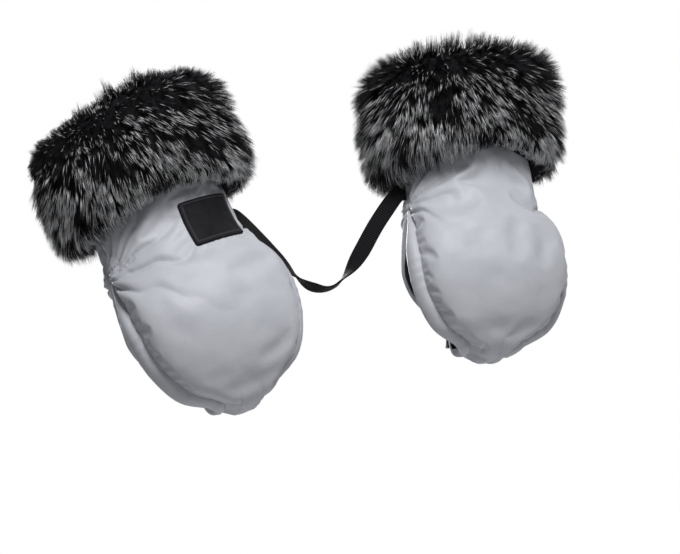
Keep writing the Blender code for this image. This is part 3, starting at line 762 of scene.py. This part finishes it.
def round_wrist(hand, turn, offset, height):
    """The point at an angle round the wrist, standing offset from the mitt, and the way out there."""
    sideways = np.cos(turn) ** 2
    reach = np.where(offset > 2.4, offset * (PILE_REACH + (1 - PILE_REACH) * sideways), offset)
    drop = SIDE_DROP * sideways * np.maximum(CUFF_WIDEST - height, 0) / (CUFF_WIDEST - CUFF_LOW)
    on_left = smooth_step(0.3 - 0.7 * np.cos(turn))
    drop += CUFF_SLUMPS[hand] * on_left * smooth_step((height - 140) / 50) * smooth_step((offset + 8) / 14)
    out = unit(np.stack((np.cos(turn) / WRIST[0], np.sin(turn) / WRIST[1], turn * 0), -1))
    base = np.stack((WRIST[0] * np.cos(turn), WRIST[1] * np.sin(turn), height - drop), -1)
    return base + out * reach[..., None], out


def spun(outline, steps):
    """The outline, corners of (radius, height), spun round Z; it closes if it ends where it starts."""
    bm = bmesh.new()
    verts = [bm.verts.new((radius, 0, height)) for radius, height in dict.fromkeys(outline)]
    ends = verts[1:] + (verts[:1] if outline[0] == outline[-1] else [])
    edges = [bm.edges.new(pair) for pair in zip(verts, ends)]
    bmesh.ops.spin(bm, geom=verts + edges, cent=(0, 0, 0), axis=(0, 0, 1), angle=2 * math.pi, steps=steps,
                   use_merge=True)
    return bm


def spun_ring(name, hand, outline, roughen):
    """Spins an outline of (offset, height) round Z and fits it to the oval wrist."""
    bm = spun([(SPIN_RADIUS + offset, height) for offset, height in outline], 120)
    flat = read_points(bm)
    turn = np.arctan2(flat[:, 1], flat[:, 0])
    offset = np.hypot(flat[:, 0], flat[:, 1]) - SPIN_RADIUS
    points, out = round_wrist(hand, turn, offset, flat[:, 2])
    if roughen:
        points += out * (roughen * rolling(points, 9, 12) * (offset > 6))[:, None]
    uv = np.stack((turn * 0.08, flat[:, 2] * MM), -1)
    return piece_from(bm, name, mitt_to_world(points, hand), uv)


print("the widest ring stands", CUFF_OUTLINE[:, 0].max(), "mm off the mitt")

# %% [markdown]
# A hair is a three-sided needle with a bend in it. One is modelled, and tens of thousands of copies
# stand on a cuff. A dozen at a time lean towards one tip, and these clumps give the fur its flames
# and dark gaps. Each point of a hair remembers how high up it is and how pale the hair's tip is. A
# hair system would need no planting, but its strands aren't solids that a shared part can carry.

# %% One hair
HAIRS_IN_CLUMP = 12


def needle():
    """A hair one unit tall and one unit thick: its points and its triangles."""
    bm = bmesh.new()
    made = bmesh.ops.create_cone(bm, cap_ends=True, segments=3, radius1=0.5, radius2=0.0, depth=1)["verts"]
    rising = [edge for edge in {e for vert in made for e in vert.link_edges} if edge.calc_length() > 1]
    bmesh.ops.subdivide_edges(bm, edges=rising, cuts=1)
    bmesh.ops.remove_doubles(bm, verts=bm.verts[:], dist=0.001)
    bmesh.ops.triangulate(bm, faces=bm.faces[:])
    bm.verts.index_update()
    points = read_points(bm) + np.array((0, 0, 0.5))
    middle = (points[:, 2] > 0.2) & (points[:, 2] < 0.8)
    points[middle, :2] *= 1.7
    triangles = np.array([[vert.index for vert in surface.verts] for surface in bm.faces])
    bm.free()
    return points, triangles


NEEDLE, NEEDLE_TRIANGLES = needle()
print("a hair:", len(NEEDLE), "points", len(NEEDLE_TRIANGLES), "triangles")

# %% [markdown]
# Where the hairs stand and which way they lie makes the fur. They stand up along the crown, are
# drawn down by their weight below it, and hang at the hem. Soft noise turns whole areas a little, so
# that the pile parts and swirls. It isn't equally long all round either: it is crushed high on one
# side and fluffed up elsewhere, where the photograph's outline says so. Pale tips are many in the
# lower half and few towards the crown. That makes the crown darker, partly for the dark roots that
# show where the pile folds over and partly as painted shade of the pile's depth. Pale tips are many in the
# lower half and few towards the crown, as dyed imitation fur has them.

# %% Plant the pile
OUTLINE_STEPS = np.linspace(0, len(CUFF_OUTLINE) - 1, 500)
OUTLINE_WAY = running_length(between(CUFF_OUTLINE, OUTLINE_STEPS))
SHORTEST, LONGEST, LONGEST_BETWEEN = 5, 23, 5
# start and end in millimetres along the outline from the hem, and the number of clumps
ZONES = {"hem": (7, 34, 760), "flank": (34, 94, 1500), "shoulder": (94, 132, 960), "crown": (132, 168, 840)}


def lie_of_pile(hand, turn, way, inset, random):
    """Where a hair is rooted, which way it lies and the way down along the surface there."""
    p = np.interp(way, OUTLINE_WAY, OUTLINE_STEPS)
    places, normal = outline_at(p, inset)
    roots, out = round_wrist(hand, turn, places[:, 0], places[:, 1])
    up = np.array((0, 0, 1.0))
    stand = unit(out * normal[:, :1] + up * normal[:, 1:])
    fall = unit(up * normal[:, :1] - out * normal[:, 1:]) * -1
    swirl = np.stack([rolling(roots, 26, k) for k in (1, 2, 3)], -1)
    lean = np.interp(way, (0, 30, 60, 100, 130, 150, 170), (0.3, 1.2, 1.35, 0.95, 0.4, 0.05, -0.25))
    lie = stand + fall * (lean + 0.22 * swirl[:, 1])[:, None]
    lie = lie + np.cross(up, out) * (0.3 * swirl[:, 0] + random.normal(0, 0.1, len(way)))[:, None]
    return roots, unit(lie + random.normal(0, 0.07, lie.shape)), fall, swirl


def uneven_pile(hand, turn, way):
    """How much longer the pile is: it is crushed high on one side and fluffed up elsewhere."""
    right_side = np.cos(turn)
    high = smooth_step((way - 60) / 50)
    low = 1 - smooth_step((way - 60) / 40)
    crown = smooth_step((way - 112) / 25)
    hem = smooth_step((45 - way) / 30)
    if hand == "left":
        longer = high * np.where(right_side < 0, 6 * right_side - 6, 5 * right_side - 8)
        return longer - low * np.minimum(6 * right_side, 0) - 8 * crown * np.maximum(right_side, 0)
    longer = high * np.where(right_side < 0, 1 - right_side, 6 * right_side - 2)
    shorter = 3 * crown * (1 - right_side) + 2 * hem * np.maximum(right_side, 0)
    return longer - low * np.minimum(22 * right_side, 0) - shorter


def plant(name, hand, zone, seed):
    """A part of the pile: hairs in clumps, each hair set in its place and bent."""
    random = np.random.default_rng(seed)
    start, end, clumps = ZONES[zone]
    turn = random.uniform(-np.pi, np.pi, clumps)
    way = random.uniform(start, end, clumps)
    deep = np.interp(way, (0, 25, 130, 150, 170), (6, 11, 11, 8, 4))
    centre, centre_lie, _, swirl = lie_of_pile(hand, turn, way, deep, random)
    tall = np.interp(way, (0, 20, 40, 60, 110, 135, 155, 170), (8, 9.5, 15, 19.5, 19.5, 20, 19, 13))
    tall = tall + uneven_pile(hand, turn, way)
    tufted = 1 + 0.38 * rolling(centre, 13, 31) * smooth_step((way - 60) / 50)
    facing = np.maximum(-SIDES[hand] * np.cos(turn), 0)
    longest = LONGEST + LONGEST_BETWEEN * facing * (1 - smooth_step((way - 90) / 30))
    tall = tall * (1 + 0.15 * swirl[:, 2]) * tufted * random.normal(1, 0.15, clumps)
    tall = np.clip(tall, SHORTEST, longest)
    centre_tip = centre + centre_lie * tall[:, None]
    k = np.repeat(np.arange(clumps), HAIRS_IN_CLUMP)
    count = len(k)
    hair_way = np.clip(way[k] + random.normal(0, 2.4, count), 1, 172)
    hair_turn = turn[k] + random.normal(0, 0.03, count)
    roots, lie, fall, _ = lie_of_pile(hand, hair_turn, hair_way, deep[k], random)
    own_tip = roots + lie * (tall[k] * random.uniform(0.8, 1.1, count))[:, None]
    drawn = random.uniform(0.35, 0.85, count)[:, None]
    tips = own_tip + (centre_tip[k] - own_tip) * drawn
    shaft = tips - roots
    length = np.linalg.norm(shaft, axis=-1)
    along = shaft / length[:, None]
    x_axis = unit(np.cross(along, random.normal(0, 1, along.shape)))
    y_axis = np.cross(along, x_axis)
    # fewer pale tips towards the crown: partly the dark roots that show where the pile folds over, partly
    # painted shade of its depth
    paleness = np.interp(hair_way, (0, 20, 55, 80, 108), (0.32, 0.36, 0.42, 0.18, 0.04))
    paleness = paleness * np.clip(0.85 + 1.4 * swirl[k, 0], 0.06, 2) * random.uniform(0.2, 1.8, clumps)[k]
    pale = (random.random(count) < paleness) * random.uniform(0.7, 1, count)
    thick = (random.uniform(0.26, 0.40, count) * (1 + 0.65 * (pale > 0)))[:, None, None]
    shape = NEEDLE[None]
    points = roots[:, None] + shape[..., 2:] * shaft[:, None]
    points = points + thick * (shape[..., :1] * x_axis[:, None] + shape[..., 1:2] * y_axis[:, None])
    bend = (0.16 * length)[:, None, None] * fall[:, None]
    points = points + bend * (shape[..., 2:] * (shape[..., 2:] - 1))
    triangles = NEEDLE_TRIANGLES[None] + (np.arange(count) * len(NEEDLE))[:, None, None]
    mesh = bpy.data.meshes.new(name)
    mesh.from_pydata(mitt_to_world(points.reshape(-1, 3), hand), [], triangles.reshape(-1, 3))
    rise = np.tile(np.clip(NEEDLE[:, 2], 0, 1), count)
    for label, values in (("rise", rise), ("pale", np.repeat(pale, len(NEEDLE)))):
        mesh.attributes.new(label, "FLOAT", "POINT").data.foreach_set("value", values)
    mesh.shade_smooth()
    return stand_in_scene(name, mesh)


print("clumps a cuff:", sum(clumps for _, _, clumps in ZONES.values()))

# %% [markdown]
# The fur is dyed black at the root and charcoal up the hair, and the same colours also paint light on
# it: the near black low on the hair is partly painted shade of the deep pile, and the grey at the tip
# is partly a painted sheen. Where a hair's tip is a pale one, it runs to grey and white. Both are read
# from what each point remembers, so one finish serves all the hairs. The roll below is near black and
# rough, like the foot of the pile, and its near black is partly painted shade of the pile's depth.

# %% Finish of the fur
fur, tree, shader = new_material("fur_pile", (0.02, 0.02, 0.022), 0.55, specular=0.15)
rise, pale = attribute(tree, "rise"), attribute(tree, "pale")
# near black low on the hair: black dye and painted shade of the deep pile; the grey at the tip is partly a
# painted sheen
body = colour_ramp(tree, rise, (0, (0.002, 0.002, 0.0025)), (0.5, (0.006, 0.006, 0.007)),
                   (1, (0.034, 0.034, 0.039)))
reach = colour_ramp(tree, rise, (0.3, (0, 0, 0)), (0.65, (1, 1, 1)))
share = math_node(tree, "MULTIPLY", reach, pale)
finish_shader(tree, shader, mixed(tree, share, body, (0.95, 0.955, 0.97)))

# the roll's near black: the dark roots of the pile and painted shade of its depth
dark_roots_and_shade, tree, shader = new_material("dark_roots_and_shade", (0.006, 0.006, 0.007), 0.9, specular=0.05)
fibres = cloudy(tree, places_on(tree)["Object"], 700, 4, 0.7)
tint = colour_ramp(tree, fibres, (0.35, (0.002, 0.002, 0.0025)), (0.75, (0.02, 0.02, 0.022)))
finish_shader(tree, shader, tint, (fibres, 0.9, 0.002))

print("fur finishes:", fur.name, dark_roots_and_shade.name)

# %% [markdown]
# A cuff is put together from its backing cloth, the dark roll and the four zones of pile, the hem to
# the crown. Each zone has its own seed, so that no two look alike.

# %% Make both cuffs
for number, hand in enumerate(SIDES):
    steps = np.linspace(0, len(CUFF_OUTLINE) - 1, 45)
    inset = np.interp(steps, (0, 0.8, 2, 9, 10.4, 11), (0.5, 5, 10, 8, 2.5, 0.3))
    outline = [tuple(place) for place in outline_at(steps, inset)[0]] + [(2.1, 184.3)]
    roots = spun_ring(hand + "_cuff_roots", hand, outline + outline[:1], 1.6)
    finish_piece(roots, dark_roots_and_shade, "fur", hand + "_mitt", hand + "_cuff_fur")
    for index, zone in enumerate(ZONES):
        pile = plant(f"{hand}_cuff_pile_{zone}", hand, zone, 40 + 10 * number + index)
        finish_piece(pile, fur, "fur", hand + "_mitt")
        print(pile.name, len(pile.data.polygons), "triangles")
    backing_outline = [(0.6, 106), (1.8, 106), (1.8, 184), (0.6, 184), (0.6, 106)]
    backing = spun_ring(hand + "_cuff_backing_knit", hand, backing_outline, 0)
    finish_piece(backing, backing_cloth, "knit_backing", hand + "_mitt", hand + "_cuff_backing")

# %% [markdown]
# A press stud is four turned pieces: a cap and a socket on the flap's hem, a stud and a post on the
# front's hem. Each is spun from half its outline, radius and height, with enough steps to look round
# close up. A seat is a foot's depth behind the bar's axis, the way it faces and what carries it.

# %% Press studs
SNAP_OUTLINES = {
    "cap": ((0, 2.0), (2.4, 1.95), (4.2, 1.7), (5.4, 1.15), (6.0, 0.5), (6.0, 0.05), (5.6, 0), (0, 0)),
    "socket": ((0, 0.5), (2.6, 0.5), (2.6, 2.2), (2.9, 2.6), (4.7, 2.6), (5.2, 2.1), (5.7, 0.2),
               (5.5, 0), (0, 0)),
    "stud": ((0, 2.7), (1.3, 2.68), (1.9, 2.3), (2.0, 1.9), (1.65, 1.1), (1.8, 0.9), (5.1, 0.9),
             (5.4, 0.65), (5.7, 0.1), (5.5, 0), (0, 0)),
    "post": ((0, 1.2), (4.0, 1.2), (4.5, 1.05), (4.9, 0.5), (5.1, 0), (0, 0)),
}
SNAP_SEATS = {"cap": (24.8, 1, "flap"), "socket": (20.6, -1, "flap"),
              "stud": (16.8, 1, "mitt"), "post": (12.6, -1, "mitt")}
SNAP_SPACING = 26
SNAP_HEIGHT = 57

snap_metal, tree, shader = new_material("black_snap_metal", (0.02, 0.02, 0.022), 0.34, 0.6)
shader.inputs["Coat Weight"].default_value = 0.3
specks = cloudy(tree, places_on(tree)["Object"], 900, 2)
tint = colour_ramp(tree, specks, (0.3, (0.014, 0.014, 0.016)), (0.7, (0.035, 0.035, 0.038)))
finish_shader(tree, shader, tint, (specks, 0.15, 0.0002))

for hand in SIDES:
    for key, (depth, facing, body) in SNAP_SEATS.items():
        for index, u in enumerate((-SNAP_SPACING / 2, SNAP_SPACING / 2), start=1):
            bm = spun(SNAP_OUTLINES[key], 32)
            bmesh.ops.remove_doubles(bm, verts=bm.verts[:], dist=0.01)
            x, y, height = read_points(bm).T
            placed = np.stack((x + u, depth + facing * height, -SNAP_HEIGHT - facing * y), -1)
            snap = piece_from(bm, f"{hand}_snap_{key}_{index}_turned", mitt_to_world(placed, hand))
            snap.data.set_sharp_from_angle(angle=math.radians(35))
            finish_piece(snap, snap_metal, "snap_metal", f"{hand}_{body}", f"{hand}_snap_{key}_{index}")
print("press stud pieces made:", len(SIDES) * len(SNAP_SEATS) * 2)

# %% [markdown]
# The patch is soft black rubber, moulded with a raised border and sewn on the left mitt's front. Its
# middle is left plain. Along the border's ridge the rubber is painted a lighter grey, a painted
# highlight. It is a grid extruded to a slab, and each point is carried to the face of the mitt, as the
# real patch bends over the wrist.

# %% The patch
PATCH_CORNER = 2.5


def front_at(u, w):
    """The point and the normal of the front face at a u and a w above the bar."""
    t = np.interp(w, FRONT_RIBS[8:, 2], np.arange(8, 16))
    s = np.arcsin(np.clip(u / between(FRONT_RIBS, t)[:, 0], -1, 1)) / (np.pi / 2)
    return face(FRONT_RIBS, s, t), face_normal(FRONT_RIBS, s, t)


def patch_piece():
    """A slab with rounded corners, raised where its border runs and lower at its cut edge."""
    bm = cloth_grid(64, 56, True)
    flat = read_points(bm)
    half = np.array((PATCH["wide"], PATCH["tall"])) / 2
    places = (flat[:, :2] * (1, 2) - (0, 1)) * half
    into_corner = np.abs(places) - half + PATCH_CORNER
    over = np.hypot(*np.maximum(into_corner, 0).T)[:, None]
    rounded = half - PATCH_CORNER + into_corner * PATCH_CORNER / np.maximum(over, PATCH_CORNER)
    places = np.sign(places) * np.where(over > PATCH_CORNER, rounded, np.abs(places))
    edge = (half - np.abs(places)).min(1)
    rim = np.exp(-(((edge - 2.8) / 0.6) ** 2))
    top = 1.3 + 1.1 * rim + 0.25 * smooth_step((1.6 - edge) / 0.8) - 0.6 * smooth_step((0.7 - edge) / 0.7)
    height = np.where(flat[:, 2] < -0.5, 0.3, 0.6 + top)
    seat, out = front_at(places[:, 0] + PATCH["u"], places[:, 1] + PATCH["w"])
    points = mitt_to_world(seat + out * height[:, None], "left")
    piece = piece_from(bm, "left_patch_moulded", points, places * MM)
    # the ridge's share is kept for the finish, which paints a highlight along it
    piece.data.attributes.new("rim", "FLOAT", "POINT").data.foreach_set("value", rim)
    return piece


patch_rubber, tree, shader = new_material("patch_rubber_moulded", (0.012, 0.012, 0.014), 0.6, specular=0.06)
place = places_on(tree)["Object"]
grain = cloudy(tree, place, 1400, 3, 0.6)
tint = colour_ramp(tree, cloudy(tree, place, 90, 2), (0.3, (0.007, 0.007, 0.008)),
                   (0.7, (0.012, 0.012, 0.014)))
# painted highlight: a lighter grey along the border's ridge
rim_highlight = mixed(tree, attribute(tree, "rim"), tint, (0.045, 0.045, 0.05))
finish_shader(tree, shader, rim_highlight, (grain, 0.25, 0.0003))

patch = patch_piece()
finish_piece(patch, patch_rubber, "patch_rubber", "left_mitt", "left_patch")
print("patch:", len(patch.data.polygons), "faces")

# %% [markdown]
# The strap is black ribbed webbing, sewn flat into each mitt's inner seam. It turns over once and
# sags behind the bar. It is made in two halves that meet at the low point.

# %% The strap
STRAP_ROUTE_SHARES = ((1.0, 0.0, 1.0), (0.90, 0.08, 0.985), (0.66, 0.42, 0.70), (0.42, 0.74, 0.35),
                      (0.20, 0.94, 0.09), (0.0, 1.0, 0.0))
STRAP = {"width": 15, "thick": 1.4, "height": 71, "standoff": 2.6, "low": 14, "back": 33}
# a point near the middle of the strap and one at a mitt's seam, in millimetres
STILL_END = (14, 33, 17)
SEAM_END = (61, 0, 71)


def strap_half(name, side):
    """One half of the strap, from the mitt's seam to the low point in the middle."""
    bm = cloth_grid(12, 110, False)
    flat = read_points(bm)
    share = flat[:, 1] / 2
    seam_u = -59.67 - STRAP["standoff"]
    seam = mitt_to_world(np.array((seam_u, 0, STRAP["height"])), "right") / MM
    route = [(seam[0] * x, STRAP["back"] * y, STRAP["low"] + (seam[2] - STRAP["low"]) * z)
             for x, y, z in STRAP_ROUTE_SHARES]
    route += [(-x, y, z) for x, y, z in reversed(route[:-1])]
    route = np.array(route, float)
    t = share * (len(route) - 1)
    along = unit(between(route, t + 0.7) - between(route, t - 0.7))
    upright = np.array((math.sin(SPLAY), 0, math.cos(SPLAY)))
    leaving = np.minimum(share / 0.16, 1)[:, None]
    upright = unit(upright - along * (along @ upright)[:, None] * leaving)
    turn = np.pi / 4 * (1 - np.cos(np.pi * np.clip((share - 0.26) / 0.18, 0, 1)))[:, None]
    width = upright * np.cos(turn) + np.cross(along, upright) * np.sin(turn)
    points = between(route, t) + width * (flat[:, :1] * STRAP["width"] / 2)
    points[:, 0] *= side
    uv = np.stack((flat[:, 0] * STRAP["width"] / 2, share * 190), -1) * MM
    return thickened(piece_from(bm, name, points * MM, uv), STRAP["thick"])


strap_webbing, tree, shader = new_material("black_webbing", (0.014, 0.014, 0.016), 0.6, specular=0.06)
place = places_on(tree)["UV"]
ribs, fine = threads(tree, place, False, 0.0011), threads(tree, place, True, 0.0007)
tint = colour_ramp(tree, ribs, (0.2, (0.003, 0.003, 0.0035)), (0.8, (0.015, 0.015, 0.017)))
finish_shader(tree, shader, tint, (ribs, 0.8, 0.0005), (fine, 0.3, 0.0002))

for hand, side in SIDES.items():
    half = strap_half(hand + "_strap_webbing", side)
    still_end = tuple(np.array(STILL_END) * (side, 1, 1) * MM)
    seam_end = tuple(mitt_to_world(np.array(SEAM_END) * (-side, 1, 1), hand))
    bodies = ("strap", hand + "_mitt", still_end, seam_end)
    finish_piece(half, strap_webbing, "webbing", bodies, "connecting_strap")
print("each strap half:", len(half.data.polygons), "faces")

# %% [markdown]
# The set is plain: a pale floor well below, and a surround that looks white but lights the mitts
# only faintly. A small lamp close in front gives the highlights and the quick fall of light towards
# the outer edges. A very faint one fills from the right, and one behind brings out the fur's rim.
# The camera stands where the photographer stood, a little below, and is rolled as the picture is.

# %% Floor, light and camera
FLOOR_HEIGHT = -1.1
floor_grid = bmesh.new()
bmesh.ops.create_grid(floor_grid, x_segments=1, y_segments=1, size=6)
floor = piece_from(floor_grid, "floor", read_points(floor_grid) + (0, 0, FLOOR_HEIGHT))
floor.data.materials.append(new_material("pale_floor", (0.80, 0.80, 0.80), 0.8)[0])

world = bpy.data.worlds.new("studio")
bpy.context.scene.world = world
world.use_nodes = True
tree = world.node_tree
ambient = tree.nodes["Background"]
ambient.inputs["Color"].default_value = (0.96, 0.98, 1.0, 1)
ambient.inputs["Strength"].default_value = 0.12
white = new_node(tree, "Background", {"Color": (1, 1, 1, 1)})
paths = new_node(tree, "LightPath").outputs
seen = math_node(tree, "MAXIMUM", paths["Is Camera Ray"], paths["Is Glossy Ray"])
seen = math_node(tree, "MAXIMUM", seen, paths["Is Transmission Ray"])
choose = new_node(tree, "MixShader", links={0: seen, 1: ambient.outputs[0], 2: white.outputs[0]})
tree.links.new(choose.outputs[0], tree.nodes["World Output"].inputs["Surface"])

LAMPS_AIM = Vector((0, 0, 0.05))
LAMPS = {"key_lamp": ((-0.05, -1.05, 0.72), 16.5, 0.4), "fill_lamp": ((1.6, -1.5, 0.9), 1, 1.2),
         "back_lamp": ((0.2, 2.2, 1.2), 68, 1.2)}
for name, (place, power, size) in LAMPS.items():
    data = bpy.data.lights.new(name, "AREA")
    data.energy = power
    data.size = size
    lamp = stand_in_scene(name, data)
    lamp.location = place
    lamp.rotation_euler = (LAMPS_AIM - Vector(place)).to_track_quat("-Z", "Y").to_euler()

# the picture's width, the focal length and the shift of the view, in pixels
IMAGE_WIDTH = 680
FOCAL_PIXELS = 1740
SHIFT = (-5, 16)
SENSOR = 36
CAMERA_DISTANCE = 1.5
AZIMUTH = math.radians(-26)
ELEVATION = math.radians(-12)
ROLL = math.radians(15.5)
out_level = math.cos(ELEVATION)
toward = Vector((math.sin(AZIMUTH) * out_level, -math.cos(AZIMUTH) * out_level, math.sin(ELEVATION)))
level = Vector((math.cos(AZIMUTH), math.sin(AZIMUTH), 0))
upward = toward.cross(level)
camera_x = level * math.cos(ROLL) - upward * math.sin(ROLL)
camera_y = level * math.sin(ROLL) + upward * math.cos(ROLL)
camera_data = bpy.data.cameras.new("camera")
camera_data.sensor_width = SENSOR
camera_data.lens = FOCAL_PIXELS / IMAGE_WIDTH * SENSOR
camera_data.shift_x = SHIFT[0] / IMAGE_WIDTH
camera_data.shift_y = SHIFT[1] / IMAGE_WIDTH
camera = stand_in_scene("camera", camera_data)
turned = Matrix((camera_x, camera_y, toward)).transposed().to_4x4()
camera.matrix_world = Matrix.Translation(toward * CAMERA_DISTANCE) @ turned
bpy.context.scene.camera = camera
bpy.context.scene.view_settings.view_transform = "Standard"
print("lens", round(camera_data.lens, 1), "mm")
